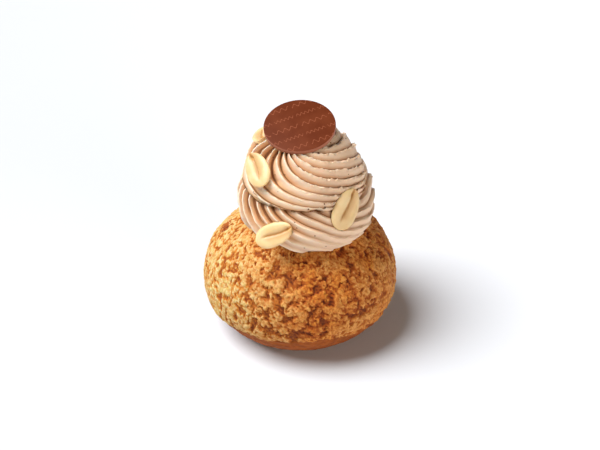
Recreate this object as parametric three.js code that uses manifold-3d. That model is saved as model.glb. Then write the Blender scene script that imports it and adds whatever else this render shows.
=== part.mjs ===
// A cream puff: a round choux bun under a crackled biscuit crust, a tall swirl of nut cream piped on it with
// a star tip, four blanched peanut halves pressed into the cream, and a thin chocolate disc laid on top.
// Millimetres, +Z up. The origin is the middle of the bun's flat base, and -Y is the front.

import * as THREE from 'three';
import * as BufferGeometryUtils from 'three/addons/utils/BufferGeometryUtils.js';
import Module from 'manifold-3d';

const wasm = await Module();
wasm.setup();

const TURN = Math.PI * 2;
const GAP = 0.3; // air left between neighbouring pieces
const HALVINGS = 40; // steps of a search by halving

// ---- driving sizes ---------------------------------------------------------------------------------------

const BUN = {
  radius: 36.3, // at the widest
  beltHeight: 18, // height of the widest ring
  underDepth: 23.9, // half height of the ellipse below the belt, cut flat by the baking tray
  crownDepth: 29, // height of the dome above the belt
  crownPower: 2.2, // above 2 makes the shoulders fuller than an ellipse
  squash: 0.006, // the plan is this much longer one way than the other
  rimHeight: 11.5, // where the biscuit crust ends, over the bare choux
  rimWave: 1.6, // how far that edge wanders up and down
  rimStep: 0.8, // thickness of the crust at its edge
  rimHalf: 0.5, // half the height over which that edge steps down
  lumps: 0.45, // height of the broad swells in the crust
  // rises at which the swells start, are full, start to die away and end, above the belt and below it
  swellBands: [[0.25, 0.45, 0.7, 0.85], [-0.5, -0.3, -0.2, -0.1]],
  columns: 56,
  rowsBelow: 8,
  rowsAbove: 10,
  crownTop: 86, // degrees of rise at the last ring below the crown's middle
};

const SWIRL = {
  rayHeight: 50, // the point on the axis that the swirl's outline is measured from
  axis: { foot: [2.4, -0.8, 52], top: [0.1, 0, 82] }, // upright below its foot, then leaning to its top
  grooveDepth: 1.6, // depth of the grooves that the star tip leaves
  leftShare: 0.36, // by what share they are deeper on the left, and shallower on the right
  crestAt: 0.78, // place of the crest between one groove and the next
  fullness: { front: 0.9, right: 0.25, farRight: 0.5 }, // above 1 makes round ridges, below 1 thin crests
  lipStep: 1.2, // how far the upper turn stands out over the lower one
  lipFade: 0.1, // radians over which that step dies away
  topAngle: 5, // degrees from straight up at the smallest loop, round the tip
  underShares: [0.78, 0.52, 0.26], // rings of the underside, as shares of the way from the middle to the edge
  creaseRange: [40, 85], // degrees from straight up between which the two turns meet
  footRange: [90, 130], // and between which the lower turn reaches the bun
  samples: 480, // angles round the axis at which a loop's grooves are counted
};

// Cross-sections of the rope of cream, as ellipses beside the axis. "climb" is what the lower turn gains on
// its way round as it winds up towards the upper one. "steps" are the places across a ridge that get a line of
// points. "twist" is a cubic in the angle down from the section's top: the grooves passed on the way down.
// "crowding" is how far the ridges are packed to the left, and what that loses on the way down.
const LOWER = {
  offset: 13.8, height: 51.2, halfWidth: 11.4, halfHeight: 11.2,
  climb: { offset: -0.7, height: 3.7, halfWidth: 0.3, halfHeight: 3.4 },
  ridges: 20, steps: [0, 0.42, 0.78], rows: 12, rowSpread: 1.15,
  twist: [4.945, 0.686, -1.953, 0.524],
  crowding: { front: 1.033, right: 0.308, frontLoss: 0.497, rightLoss: 0.315 },
  lift: { x: 0, y: 0 },
};
const UPPER = {
  offset: 5.6, height: 61, halfWidth: 16.3, halfHeight: 19.2,
  climb: { offset: 0, height: 0, halfWidth: 0, halfHeight: 0 },
  ridges: 15, steps: [0, 0.28, 0.54, 0.78], rows: 20,
  twist: [8.392, -5.517, 4.645, -2.112],
  crowding: { front: 0.475, right: 0.269, frontLoss: 0.58, rightLoss: 0.509 },
  lift: { x: -3.7, y: -7.4 }, // where the nozzle was lifted off, from the axis
};
const LIFT_FELT = [4, 12]; // distances from the axis over which the ridges come to spread from the lift

// Where the grooves are shallower, and by what share. The upper turn's flatten above its lower edge, in
// radians from that edge, and nearly vanish towards the left of the front, where the edge is a smooth ribbon.
// The lower turn's flatten low down on the front and right, in degrees from straight up.
const EDGE_FLAT = { share: 0.55, over: [-0.3, 0] };
const RIBBON_FLAT = { share: 0.95, over: [-0.36, -0.24], aside: 0.6, width: [0.35, 0.7] };
const FOOT_FLAT = { share: 0.6, over: [72, 100], aside: 0.5, width: [-0.1, 0.5] };

// the climb starts this many degrees round from the front; then degrees past there for the quick rise, the
// slow fall round the back, and the last drop
const CLIMB = { from: 50, rise: [12, 44], fall: [80, 250], drop: [315, 345], fallShare: 0.55 };

// the disc leans forward and a little to the left, in degrees
const DISC = {
  radius: 12.8, thickness: 1.5, bevel: 0.25, tilt: 14, roll: -3.5, centre: [-0.1, 0, 82], sides: 36,
};

const PEANUT = {
  faceCrown: 0.45, // how far the cut face bulges
  fullness: 2.3, // above 2 makes the ends blunter than an ellipse
  backFullness: 0.9, // how the round back thins towards the ends
  taper: 0.1, // how much narrower the tip end is
  furrowWidth: 0.9, furrowDepth: 0.55, // the seam
  furrowFrom: [-0.75, -0.35], // where the seam starts and is full, from -1 at one end to 1 at the tip
  pitDepth: 0.7, pitAt: 0.78, pitLength: 0.12, // the hollow that the germ left
  stations: 10, across: 8, endRoom: 0.7, // rings, points across, and the share of a step left at each end
};
// each half: its middle, the way its cut face looks (degrees round from the front, degrees up), how far its
// tip is turned from straight up the slope, then its length, width and thickness
const PEANUT_HALVES = [
  { centre: [16.2, -18.5, 59.4], faces: [32, 20], turned: 38, size: [15.4, 9.8, 4.2] },
  { centre: [-15, -12.9, 72.4], faces: [-42, 38], turned: -55, size: [13.4, 9, 4.2] },
  { centre: [-9.2, -24.2, 52.75], faces: [-25, 30], turned: 55, size: [14.3, 8.2, 4.6] },
  { centre: [-13.6, 3.6, 77], faces: [-110, 56], turned: 60, size: [12.8, 7.8, 3.9] },
];

// ---- small helpers ---------------------------------------------------------------------------------------

const radians = (degrees) => degrees * Math.PI / 180;

function smoothstep(value, from, to) {
  const t = Math.min(Math.max((value - from) / (to - from), 0), 1);
  return t * t * (3 - 2 * t);
}

function bisect(isBefore, low, high) {
  for (let step = 0; step < HALVINGS; step++) {
    const middle = (low + high) / 2;
    if (isBefore(middle)) low = middle; else high = middle;
  }
  return (low + high) / 2;
}

// Two closed loops of points, both running anticlockwise from above, joined by a band of triangles. The upper
// loop comes first. Loops may hold different numbers of points: the band steps along whichever lags behind.
function band(upper, lower, triangles) {
  const start = angleOf(upper.points[0]);
  const first = lower.points.reduce((best, point, index) =>
    (Math.abs(turnBetween(start, angleOf(point))) < Math.abs(turnBetween(start, angleOf(lower.points[best])))
      ? index : best), 0);
  const along = (loop, from) => {
    const angles = [turnBetween(start, angleOf(loop.points[from]))];
    for (let index = 1; index <= loop.points.length; index++) {
      const previous = loop.points[(from + index - 1) % loop.points.length];
      const point = loop.points[(from + index) % loop.points.length];
      angles.push(angles[index - 1] + turnBetween(angleOf(previous), angleOf(point)));
    }
    return angles;
  };
  const upperAngles = along(upper, 0);
  const lowerAngles = along(lower, first);
  const upperAt = (index) => upper.base + index % upper.points.length;
  const lowerAt = (index) => lower.base + (first + index) % lower.points.length;
  let i = 0;
  let j = 0;
  while (i < upper.points.length || j < lower.points.length) {
    const upperNext = i < upper.points.length ? upperAngles[i + 1] : Infinity;
    const lowerNext = j < lower.points.length ? lowerAngles[j + 1] : Infinity;
    if (upperNext < lowerNext) {
      triangles.push(upperAt(i), lowerAt(j), upperAt(i + 1));
      i++;
    } else {
      triangles.push(upperAt(i), lowerAt(j), lowerAt(j + 1));
      j++;
    }
  }
}

const angleOf = ([x, y]) => Math.atan2(x, -y);

function turnBetween(from, to) {
  return ((to - from + Math.PI) % TURN + TURN) % TURN - Math.PI;
}

// A closed body from loops stacked from one end to the other, each running anticlockwise as seen from the
// first end, with one point beyond each end. Loops are joined point to point, and a loop marked "zip" is joined
// by its angle round the vertical axis to the one above it.
function bodyFromLoops(top, loops, bottom) {
  const positions = [...top];
  const triangles = [];
  const placed = loops.map((points) => {
    const base = positions.length / 3;
    points.forEach((point) => positions.push(...point));
    return { base, points };
  });
  positions.push(...bottom);
  const last = positions.length / 3 - 1;
  const firstLoop = placed[0];
  firstLoop.points.forEach((_, i) =>
    triangles.push(0, firstLoop.base + i, firstLoop.base + (i + 1) % firstLoop.points.length));
  for (let row = 1; row < placed.length; row++) {
    const [upper, lower] = [placed[row - 1], placed[row]];
    const count = upper.points.length;
    if (lower.points.zip) {
      band(upper, lower, triangles);
      continue;
    }
    for (let i = 0; i < count; i++) {
      const next = (i + 1) % count;
      triangles.push(upper.base + i, lower.base + i, upper.base + next);
      triangles.push(upper.base + next, lower.base + i, lower.base + next);
    }
  }
  const lastLoop = placed[placed.length - 1];
  lastLoop.points.forEach((_, i) =>
    triangles.push(last, lastLoop.base + (i + 1) % lastLoop.points.length, lastLoop.base + i));
  const geometry = new THREE.BufferGeometry();
  geometry.setAttribute('position', new THREE.Float32BufferAttribute(positions, 3));
  geometry.setIndex(triangles);
  return geometry;
}

function toSolid(geometry) {
  const bare = new THREE.BufferGeometry();
  bare.setAttribute('position', geometry.getAttribute('position').clone());
  bare.setIndex(geometry.getIndex());
  const merged = BufferGeometryUtils.mergeVertices(bare, 1e-5);
  return new wasm.Manifold(new wasm.Mesh({
    numProp: 3,
    vertProperties: new Float32Array(merged.getAttribute('position').array),
    triVerts: new Uint32Array(merged.getIndex().array),
  }));
}

function toGeometry(solid) {
  const mesh = solid.getMesh();
  const geometry = new THREE.BufferGeometry();
  geometry.setAttribute('position', new THREE.BufferAttribute(new Float32Array(mesh.vertProperties), 3));
  geometry.setIndex(new THREE.BufferAttribute(new Uint32Array(mesh.triVerts), 1));
  return geometry;
}

function namedMesh(name, geometry, material) {
  const mesh = new THREE.Mesh(geometry, material);
  mesh.name = name;
  return mesh;
}

// ---- the bun ---------------------------------------------------------------------------------------------

// Radius and height of the smooth bun, with "rise" running from the cut base, below zero, to the crown at a
// quarter turn.
function bunProfile(rise) {
  const radius = BUN.radius * Math.cos(rise);
  if (rise < 0) return { radius, z: BUN.beltHeight + BUN.underDepth * Math.sin(rise) };
  return { radius, z: BUN.beltHeight + BUN.crownDepth * Math.sin(rise) ** (2 / BUN.crownPower) };
}

const bunBaseRise = -Math.asin(BUN.beltHeight / BUN.underDepth);

// Height of the bun's smooth crown at a radius, which is what the cream sits on.
function crownHeight(radius) {
  const reach = Math.min(radius / BUN.radius, 1);
  return BUN.beltHeight + BUN.crownDepth * (1 - reach * reach) ** (1 / BUN.crownPower);
}

function rimHeightAt(theta) {
  return BUN.rimHeight + BUN.rimWave * (0.6 * Math.sin(3 * theta + 1) + 0.4 * Math.sin(7 * theta));
}

const swellShare = (rise) => BUN.swellBands.reduce((sum, [start, full, fade, end]) =>
  sum + smoothstep(rise, start, full) * (1 - smoothstep(rise, fade, end)), 0);

// The crust stands out from the choux below its edge, and swells gently between the belt and the cream.
function crustRelief(theta, rise, z) {
  const rim = rimHeightAt(theta);
  const step = BUN.rimStep * (smoothstep(z, rim - BUN.rimHalf, rim + BUN.rimHalf) - 1);
  const swell = Math.sin(4 * theta + 5 * rise) * Math.sin(6 * theta - 4 * rise + 1);
  return step + BUN.lumps * swell * swellShare(rise);
}

function bunLoop(rise) {
  const loop = [];
  for (let i = 0; i < BUN.columns; i++) {
    const theta = i / BUN.columns * TURN;
    const { radius, z } = bunProfile(rise);
    const plan = 1 + BUN.squash * (Math.cos(2 * theta) - 1) / 2;
    const r = radius * plan + crustRelief(theta, rise, z);
    loop.push([r * Math.sin(theta), -r * Math.cos(theta), z]);
  }
  return loop;
}

function bunGeometry() {
  const rises = [];
  for (let i = 0; i <= BUN.rowsBelow; i++) rises.push(bunBaseRise * (1 - i / BUN.rowsBelow));
  for (let i = 1; i <= BUN.rowsAbove; i++) rises.push(radians(BUN.crownTop) * i / BUN.rowsAbove);
  const loops = rises.reverse().map(bunLoop);
  const top = [0, 0, BUN.beltHeight + BUN.crownDepth];
  return bodyFromLoops(top, loops, [0, 0, 0]);
}

// ---- the cream -------------------------------------------------------------------------------------------

// How far the lower turn has climbed at an angle round from the front: low where it starts on the right, high
// just behind that, and falling slowly all the way round the back and the left.
function climbAt(theta) {
  const past = ((theta * 180 / Math.PI - CLIMB.from) % 360 + 360) % 360;
  const { rise, fall, drop, fallShare } = CLIMB;
  const fallen = fallShare * smoothstep(past, ...fall) + (1 - fallShare) * smoothstep(past, ...drop);
  return smoothstep(past, ...rise) - fallen;
}

function sectionOf(turn, theta) {
  const k = climbAt(theta);
  return {
    offset: turn.offset + k * turn.climb.offset,
    height: turn.height + k * turn.climb.height,
    halfWidth: turn.halfWidth + k * turn.climb.halfWidth,
    halfHeight: turn.halfHeight + k * turn.climb.halfHeight,
  };
}

// A ray leaves the axis at rayHeight, psi from straight up, and meets the far side of a turn's section.
// "roll" is the place on the section, a quarter turn on its top and 0 at its widest.
function meet(turn, theta, psi) {
  const { offset, height, halfWidth, halfHeight } = sectionOf(turn, theta);
  const [dr, dz] = [Math.sin(psi), Math.cos(psi)];
  const [r0, z0] = [-offset, SWIRL.rayHeight - height];
  const a = (dr / halfWidth) ** 2 + (dz / halfHeight) ** 2;
  const b = 2 * (r0 * dr / halfWidth ** 2 + z0 * dz / halfHeight ** 2);
  const c = (r0 / halfWidth) ** 2 + (z0 / halfHeight) ** 2 - 1;
  const root = b * b - 4 * a * c;
  const distance = root > 0 ? (Math.sqrt(root) - b) / (2 * a) : 0;
  const roll = Math.atan2((z0 + distance * dz) / halfHeight, (r0 + distance * dr) / halfWidth);
  return { distance, roll };
}

const cubic = ([a, b, c, d], x) => a + b * x + c * x * x + d * x * x * x;

// Number of grooves counted round the swirl to a point: the ridges run where this is constant. They are
// packed closer on the left, and in the upper turn they spread from where the nozzle was lifted.
function phaseAt(turn, theta, { distance, roll }, psi) {
  const down = Math.PI / 2 - roll;
  const { front, right, frontLoss, rightLoss } = turn.crowding;
  const packed = (front - frontLoss * down) * Math.cos(theta) + (right - rightLoss * down) * Math.sin(theta);
  const out = distance * Math.sin(psi);
  const pull = Math.sqrt(Math.max(Math.sin(roll), 0)) * smoothstep(out, ...LIFT_FELT);
  const x = out * Math.sin(theta) - turn.lift.x * pull;
  const y = -out * Math.cos(theta) - turn.lift.y * pull;
  const aside = turnBetween(theta, Math.atan2(x, -y));
  return turn.ridges / TURN * (theta + aside + packed) + cubic(turn.twist, down);
}

// Height of a ridge, 0 in the groove and 1 on the crest: a broad face, then a short steep back.
function ridgeHeight(x, theta) {
  const aside = x < SWIRL.crestAt ? 1 - x / SWIRL.crestAt : (x - SWIRL.crestAt) / (1 - SWIRL.crestAt);
  const { front, right, farRight } = SWIRL.fullness;
  const toRight = Math.sin(theta);
  return 1 - aside ** (front + right * toRight + farRight * smoothstep(toRight, 0.6, 1));
}

function swirlPoint(theta, psi, distance) {
  const { foot, top } = SWIRL.axis;
  const z = SWIRL.rayHeight + distance * Math.cos(psi);
  const leant = Math.min(Math.max((z - foot[2]) / (top[2] - foot[2]), 0), 1);
  const out = distance * Math.sin(psi);
  const axisX = foot[0] + (top[0] - foot[0]) * leant;
  const axisY = foot[1] + (top[1] - foot[1]) * leant;
  return [axisX + out * Math.sin(theta), axisY - out * Math.cos(theta), z];
}

const creaseAt = (theta) => bisect((psi) => (
  meet(UPPER, theta, psi).distance > meet(LOWER, theta, psi).distance
), ...SWIRL.creaseRange.map(radians));

const footAt = (theta) => bisect((psi) => {
  const [x, y, z] = swirlPoint(theta, psi, meet(LOWER, theta, psi).distance);
  return z > crownHeight(Math.hypot(x, y)) + GAP;
}, ...SWIRL.footRange.map(radians));

// The step under the upper turn's edge, deepest at the crease and gone a little below it.
function lipAt(theta, psi) {
  return SWIRL.lipStep * (1 - smoothstep(psi - creaseAt(theta), 0, SWIRL.lipFade));
}

// How deep a turn's grooves are: deepest on the left.
function depthAt(turn, theta, psi) {
  const depth = SWIRL.grooveDepth * (1 - SWIRL.leftShare * Math.sin(theta));
  if (turn === LOWER) {
    const low = smoothstep(psi, ...FOOT_FLAT.over.map(radians));
    const frontRight = smoothstep(Math.sin(theta + FOOT_FLAT.aside), ...FOOT_FLAT.width);
    return depth * (1 - FOOT_FLAT.share * low * frontRight);
  }
  const past = psi - creaseAt(theta);
  const edge = EDGE_FLAT.share * smoothstep(past, ...EDGE_FLAT.over);
  const nearRibbon = smoothstep(Math.cos(theta + RIBBON_FLAT.aside), ...RIBBON_FLAT.width);
  const ribbon = RIBBON_FLAT.share * smoothstep(past, ...RIBBON_FLAT.over) * nearRibbon;
  return depth * (1 - Math.max(edge, ribbon));
}

// The angle round the axis at which a turn's groove count comes to each wanted number, along one loop. Whole
// turns are taken off, so that a ridge keeps its number from loop to loop.
function groovePlacer(turn, psiAt) {
  const table = [];
  for (let i = 0; i <= SWIRL.samples; i++) {
    const theta = -Math.PI + i / SWIRL.samples * TURN;
    const psi = psiAt(theta);
    table.push({ theta, phase: phaseAt(turn, theta, meet(turn, theta, psi), psi) });
  }
  const start = table[0].phase;
  return (wanted) => {
    const phase = start + ((wanted - start) % turn.ridges + turn.ridges) % turn.ridges;
    const next = Math.max(table.findIndex((entry) => entry.phase > phase), 1);
    const [before, after] = [table[next - 1], table[next]];
    return before.theta + (after.theta - before.theta) * (phase - before.phase) / (after.phase - before.phase);
  };
}

// One loop of a turn's surface. Its points are set on the crests and in the grooves, so that the edges of the
// triangles run along the ridges.
function swirlLoop(turn, psiAt, sinkAt) {
  const placeOf = groovePlacer(turn, psiAt);
  const loop = [];
  for (let ridge = 0; ridge < turn.ridges; ridge++) {
    for (const step of turn.steps) {
      const theta = placeOf(ridge + step);
      const psi = psiAt(theta);
      const sink = depthAt(turn, theta, psi) * (1 - ridgeHeight(step, theta)) + sinkAt(theta, psi);
      const [x, y, z] = swirlPoint(theta, psi, meet(turn, theta, psi).distance - sink);
      loop.push([x, y, Math.max(z, crownHeight(Math.hypot(x, y)) + GAP)]);
    }
  }
  return loop;
}

// The underside of the cream follows the bun's crown just above it.
function underLoop(footLoop, share) {
  const [middleX, middleY] = SWIRL.axis.foot;
  return footLoop.map(([x, y]) => {
    const nearX = middleX + (x - middleX) * share;
    const nearY = middleY + (y - middleY) * share;
    return [nearX, nearY, crownHeight(Math.hypot(nearX, nearY)) + GAP];
  });
}

function creamGeometry() {
  const topPsi = radians(SWIRL.topAngle);
  const upperLoops = [];
  for (let row = 0; row <= UPPER.rows; row++) {
    const share = row / UPPER.rows;
    const psiAt = (theta) => topPsi + (creaseAt(theta) - topPsi) * share;
    upperLoops.push(swirlLoop(UPPER, psiAt, () => 0));
  }
  const lowerLoops = [];
  for (let row = 0; row <= LOWER.rows; row++) {
    const share = (row / LOWER.rows) ** LOWER.rowSpread;
    const psiAt = (theta) => creaseAt(theta) + (footAt(theta) - creaseAt(theta)) * share;
    lowerLoops.push(swirlLoop(LOWER, psiAt, lipAt));
  }
  const footLoop = lowerLoops[LOWER.rows];
  const underLoops = SWIRL.underShares.map((share) => underLoop(footLoop, share));
  lowerLoops[0].zip = true;
  const top = swirlPoint(0, 0, meet(UPPER, 0, 0).distance - SWIRL.grooveDepth);
  const [middleX, middleY] = SWIRL.axis.foot;
  const bottom = [middleX, middleY, crownHeight(Math.hypot(middleX, middleY)) + GAP];
  return bodyFromLoops(top, [...upperLoops, ...lowerLoops, ...underLoops], bottom);
}

// ---- the peanut halves -----------------------------------------------------------------------------------

// One split kernel: the cut face looks along +Z with its tip at +Y, and the round back is below. "grow" makes
// it larger all round and leaves out the seam, for the hollow that it leaves in the cream.
function peanutGeometry([length, width, thickness], grow) {
  const loops = [];
  const half = length / 2;
  const steps = PEANUT.stations - 1 + 2 * PEANUT.endRoom;
  for (let station = 0; station < PEANUT.stations; station++) {
    const t = -Math.cos((station + PEANUT.endRoom) / steps * Math.PI);
    const full = Math.sqrt(Math.max(1 - Math.abs(t) ** PEANUT.fullness, 0));
    const halfWidth = (width / 2) * full * (1 - PEANUT.taper * t) + grow;
    const depth = (thickness - PEANUT.faceCrown) * full ** PEANUT.backFullness + grow;
    const pit = PEANUT.pitDepth * Math.exp(-(((t - PEANUT.pitAt) / PEANUT.pitLength) ** 2));
    const furrow = grow > 0 ? 0 : PEANUT.furrowDepth * smoothstep(t, ...PEANUT.furrowFrom) + pit;
    const loop = [];
    for (let i = 0; i <= PEANUT.across; i++) {
      const across = 2 * i / PEANUT.across - 1;
      const groove = furrow * Math.exp(-((across * halfWidth / PEANUT.furrowWidth) ** 2));
      const crown = PEANUT.faceCrown * (1 - across * across) * full;
      loop.push([across * halfWidth, t * (half + grow), crown - groove + grow]);
    }
    for (let i = 1; i < PEANUT.across; i++) {
      const swing = Math.PI * i / PEANUT.across;
      loop.push([Math.cos(swing) * halfWidth, t * (half + grow), -Math.sin(swing) * depth]);
    }
    loops.push(loop);
  }
  return bodyFromLoops([0, half + grow, 0], loops.reverse(), [0, -half - grow, 0]);
}

function placePeanut(object, { centre, faces, turned }) {
  const [round, up] = faces.map(radians);
  const normal = new THREE.Vector3(
    Math.sin(round) * Math.cos(up), -Math.cos(round) * Math.cos(up), Math.sin(up));
  const upslope = new THREE.Vector3(
    -Math.sin(round) * Math.sin(up), Math.cos(round) * Math.sin(up), Math.cos(up));
  const right = new THREE.Vector3().crossVectors(upslope, normal);
  const frame = new THREE.Matrix4().makeBasis(right, upslope, normal);
  object.quaternion.setFromRotationMatrix(frame);
  object.rotateZ(-radians(turned));
  object.position.set(...centre);
  object.updateMatrix();
}

// ---- the disc --------------------------------------------------------------------------------------------

function discGeometry(grow) {
  const { bevel, sides } = DISC;
  const radius = DISC.radius + grow;
  const half = DISC.thickness / 2 + grow;
  const outline = [[0, -half], [radius - bevel, -half], [radius, bevel - half], [radius, half - bevel],
    [radius - bevel, half], [0, half]].map(([r, z]) => new THREE.Vector2(r, z));
  const lathe = new THREE.LatheGeometry(outline, sides);
  lathe.deleteAttribute('normal');
  lathe.deleteAttribute('uv');
  return BufferGeometryUtils.mergeVertices(lathe, 1e-4).rotateX(Math.PI / 2);
}

function placeDisc(object) {
  object.rotation.set(radians(DISC.tilt), radians(DISC.roll), 0);
  object.position.set(...DISC.centre);
  object.updateMatrix();
}

// ---- materials -------------------------------------------------------------------------------------------

const food = (color, roughness) => new THREE.MeshStandardMaterial({ color, roughness, metalness: 0 });
const bakedCrust = food('#c98a4b', 0.85);
const nutCream = food('#d9b899', 0.6);
const blanchedPeanut = food('#ecd29b', 0.5);
const darkChocolate = food('#6d3421', 0.35);

// ---- the whole puff --------------------------------------------------------------------------------------

const group = new THREE.Group();
group.add(namedMesh('puff', bunGeometry(), bakedCrust));

const disc = namedMesh('chocolate_disc', discGeometry(0), darkChocolate);
placeDisc(disc);
group.add(disc);

let cream = toSolid(creamGeometry());
cream = cream.subtract(toSolid(discGeometry(GAP).applyMatrix4(disc.matrix)));
PEANUT_HALVES.forEach((half, index) => {
  const peanut = namedMesh(`peanut_half_${index + 1}`, peanutGeometry(half.size, 0), blanchedPeanut);
  placePeanut(peanut, half);
  group.add(peanut);
  cream = cream.subtract(toSolid(peanutGeometry(half.size, GAP).applyMatrix4(peanut.matrix)));
});
group.add(namedMesh('cream', toGeometry(cream), nutCream));

export default group;
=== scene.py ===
import math

import bpy
import numpy as np
from mathutils import Euler, Matrix, Vector, bvhtree, noise


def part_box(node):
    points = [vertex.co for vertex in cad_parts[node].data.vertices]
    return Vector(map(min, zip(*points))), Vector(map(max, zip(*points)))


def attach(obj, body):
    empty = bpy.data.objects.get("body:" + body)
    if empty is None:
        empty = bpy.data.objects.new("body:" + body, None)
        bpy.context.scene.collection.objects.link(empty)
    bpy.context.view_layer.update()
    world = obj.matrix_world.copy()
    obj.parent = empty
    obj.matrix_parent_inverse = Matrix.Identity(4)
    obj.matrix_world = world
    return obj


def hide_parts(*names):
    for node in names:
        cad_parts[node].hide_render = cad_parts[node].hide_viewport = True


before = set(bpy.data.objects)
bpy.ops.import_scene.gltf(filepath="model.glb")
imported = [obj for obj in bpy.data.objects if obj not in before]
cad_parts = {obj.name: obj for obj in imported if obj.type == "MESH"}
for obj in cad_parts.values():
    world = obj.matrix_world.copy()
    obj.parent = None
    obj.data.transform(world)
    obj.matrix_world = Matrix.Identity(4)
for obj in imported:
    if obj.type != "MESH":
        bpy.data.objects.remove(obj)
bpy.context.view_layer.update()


# ---- the bun -------------------------------------------------------------------------------------
# A ball of choux pastry, baked with a thin round of biscuit dough on top. The dough melts over the bun and
# cracks as it swells: pale clumps of crumbs with browner choux in the cracks, ending in a ragged edge above
# the bare base.

MM = 0.001
TURN = 2 * np.pi

BELT_HEIGHT = 18  # height of the widest ring
UNDER_DEPTH = 23.9  # half height of the ellipse below it, cut flat by the tray
CROWN_POWER = 2.2  # above 2 makes the shoulders fuller than an ellipse
SWELLS = 0.45  # height of the broad swells
RIM_HEIGHT, RIM_WAVE = 11.5, 1.6  # where the crust ends, and how far that edge wanders
RIM_FADE = 0.35  # half the height over which it thins out there
CRUST_STEP = 0.8  # thickness of the crust at its edge
CRUMB_SIZE, CLUMP_SIZE = 1.35, 3.4  # the round crumbs of the crust, and the clumps they hang together in
CRUMB_HEIGHT, LOW_CRUMBS = 1.4, 0.15  # and the share of that height where a clump is missing
CRUMB_REACH = 0.95  # how far a crumb's dome reaches from its middle, in crumb sizes
CLUMP_FADE = 0.16  # how gradually the crumbs sink at the edge of a clump
BEND, BEND_SIZE = 1.1, 1.6  # how far crumbs are bent out of round, and over what distance
LOWER_AT_SIDES, LOWER_ON_LEFT = 0.35, 0.2  # how much lower the crumbs are there
COVER, COVER_AT_SIDES, COVER_ON_LEFT = 0.05, 0.2, 0.15  # how closely clumps cover the bun, and what is added
GASH_SIZE = (1.3, 1.3, 4)  # short upright gashes on the left
GRAIN, GRAIN_SIZE = 0.14, 0.8  # fine grain on the crumbs
WRINKLE, WRINKLE_SIZE = 0.25, (4.5, 4.5, 1.1)  # level wrinkles in the bare choux
SCORCH = np.array([-28.0, 4.0, 38.0])  # the middle of a dark patch
SCORCH_EDGE, SCORCH_RAGGED = (8.5, 11), 14  # its soft edge, and how much noise frays it
BUN_GRID = 0.38  # spacing of the mesh where the crust shows
BUN_COLUMNS = 590
HIDDEN_ARC, HIDDEN_RINGS, FIRST_RING = 16, 8, 1.5  # the cream covers the top, so a few rings do there

bun_low, bun_high = (np.array(corner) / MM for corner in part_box("puff"))
bun_radius = (bun_high[1] - bun_low[1]) / 2
bun_squash = 1 - (bun_high[0] - bun_low[0]) / (bun_high[1] - bun_low[1])
crown_depth = bun_high[2] - BELT_HEIGHT


def smoothstep(value, start, end):
    t = np.clip((value - start) / (end - start), 0, 1)
    return t * t * (3 - 2 * t)


def noise_at(points, size, octaves=1, fall=1.0):
    """Soft noise at points in mm, mostly within -0.5 to 0.5. The size of its features is in mm, and may be
    given for each axis."""
    scaled = points.reshape(-1, 3) / np.array(size)
    values = [noise.fractal(Vector(p), fall, 2.0, octaves) for p in scaled]
    return np.array(values).reshape(points.shape[:-1])


def crown_height(radius):
    reach = np.minimum(radius / bun_radius, 1)
    return BELT_HEIGHT + crown_depth * (1 - reach * reach) ** (1 / CROWN_POWER)


def closed_mesh(name, top, loops, bottom, attributes):
    """A closed skin over loops of equally many points, in mm, each anticlockwise from the first end, with a
    point past each end."""
    points = np.vstack([top, *loops, bottom])
    around = np.arange(len(loops[0]))
    after = np.roll(around, -1)
    starts = [1 + len(around) * i for i in range(len(loops))]
    faces = list(zip(0 * around, starts[0] + around, starts[0] + after))
    for upper, lower in zip(starts, starts[1:]):
        faces.extend(zip(upper + around, lower + around, lower + after, upper + after))
    faces.extend(zip(0 * around + len(points) - 1, starts[-1] + after, starts[-1] + around))
    mesh = bpy.data.meshes.new(name)
    mesh.from_pydata((points * MM).tolist(), [], [[int(i) for i in face] for face in faces])
    for attribute, values in attributes.items():
        layer = mesh.attributes.new(attribute, "FLOAT", "POINT")
        every = np.concatenate([[values[0][0]], *values, [values[-1][0]]])
        layer.data.foreach_set("value", every.astype(np.float32))
    mesh.shade_smooth()
    piece = bpy.data.objects.new(name, mesh)
    bpy.context.scene.collection.objects.link(piece)
    return piece


def bun_profile():
    """Radius, height, rise and outward normal down the bun's side, evenly spaced where the crust shows."""
    samples = 4000
    rise = np.linspace(math.pi / 2, -math.asin(BELT_HEIGHT / UNDER_DEPTH), samples)[1:]
    radius = bun_radius * np.cos(rise)
    crown = BELT_HEIGHT + crown_depth * np.maximum(np.sin(rise), 0) ** (2 / CROWN_POWER)
    height = np.where(rise < 0, BELT_HEIGHT + UNDER_DEPTH * np.sin(rise), crown)
    arc = np.concatenate([[0], np.cumsum(np.hypot(np.diff(radius), np.diff(height)))])
    stops = np.concatenate([np.linspace(FIRST_RING, HIDDEN_ARC, HIDDEN_RINGS),
                            np.arange(HIDDEN_ARC + BUN_GRID, arc[-1], BUN_GRID)])
    radius, height, rise = (np.interp(stops, arc, values) for values in (radius, height, rise))
    out, up = -np.gradient(height), np.gradient(radius)
    length = np.hypot(out, up)
    return radius, height, rise, out / length, up / length


def crumbs_at(points, size, clump_size, cover):
    """Domed crumbs: how high each point is on them, about 0 to 1. Whole clumps of them are missing and stay
    low, fewer where the cover is high."""
    heights = []
    for p, covered in zip((points / size).reshape(-1, 3), cover.reshape(-1)):
        height = 0
        for distance, middle in zip(*noise.voronoi(Vector(p))):
            dome = 1 - (distance / CRUMB_REACH) ** 2
            if dome <= 0:
                continue
            clump = noise.fractal(middle * (size / clump_size), 0.8, 2.0, 2) + covered
            kept = min(max(clump / CLUMP_FADE + 0.5, LOW_CRUMBS), 1)
            uneven = 0.82 + 0.3 * noise.noise(middle * 7.3)  # no two crumbs are as high
            height = max(height, kept * math.sqrt(dome) * uneven)
        heights.append(height)
    return np.array(heights).reshape(points.shape[:-1])


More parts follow.
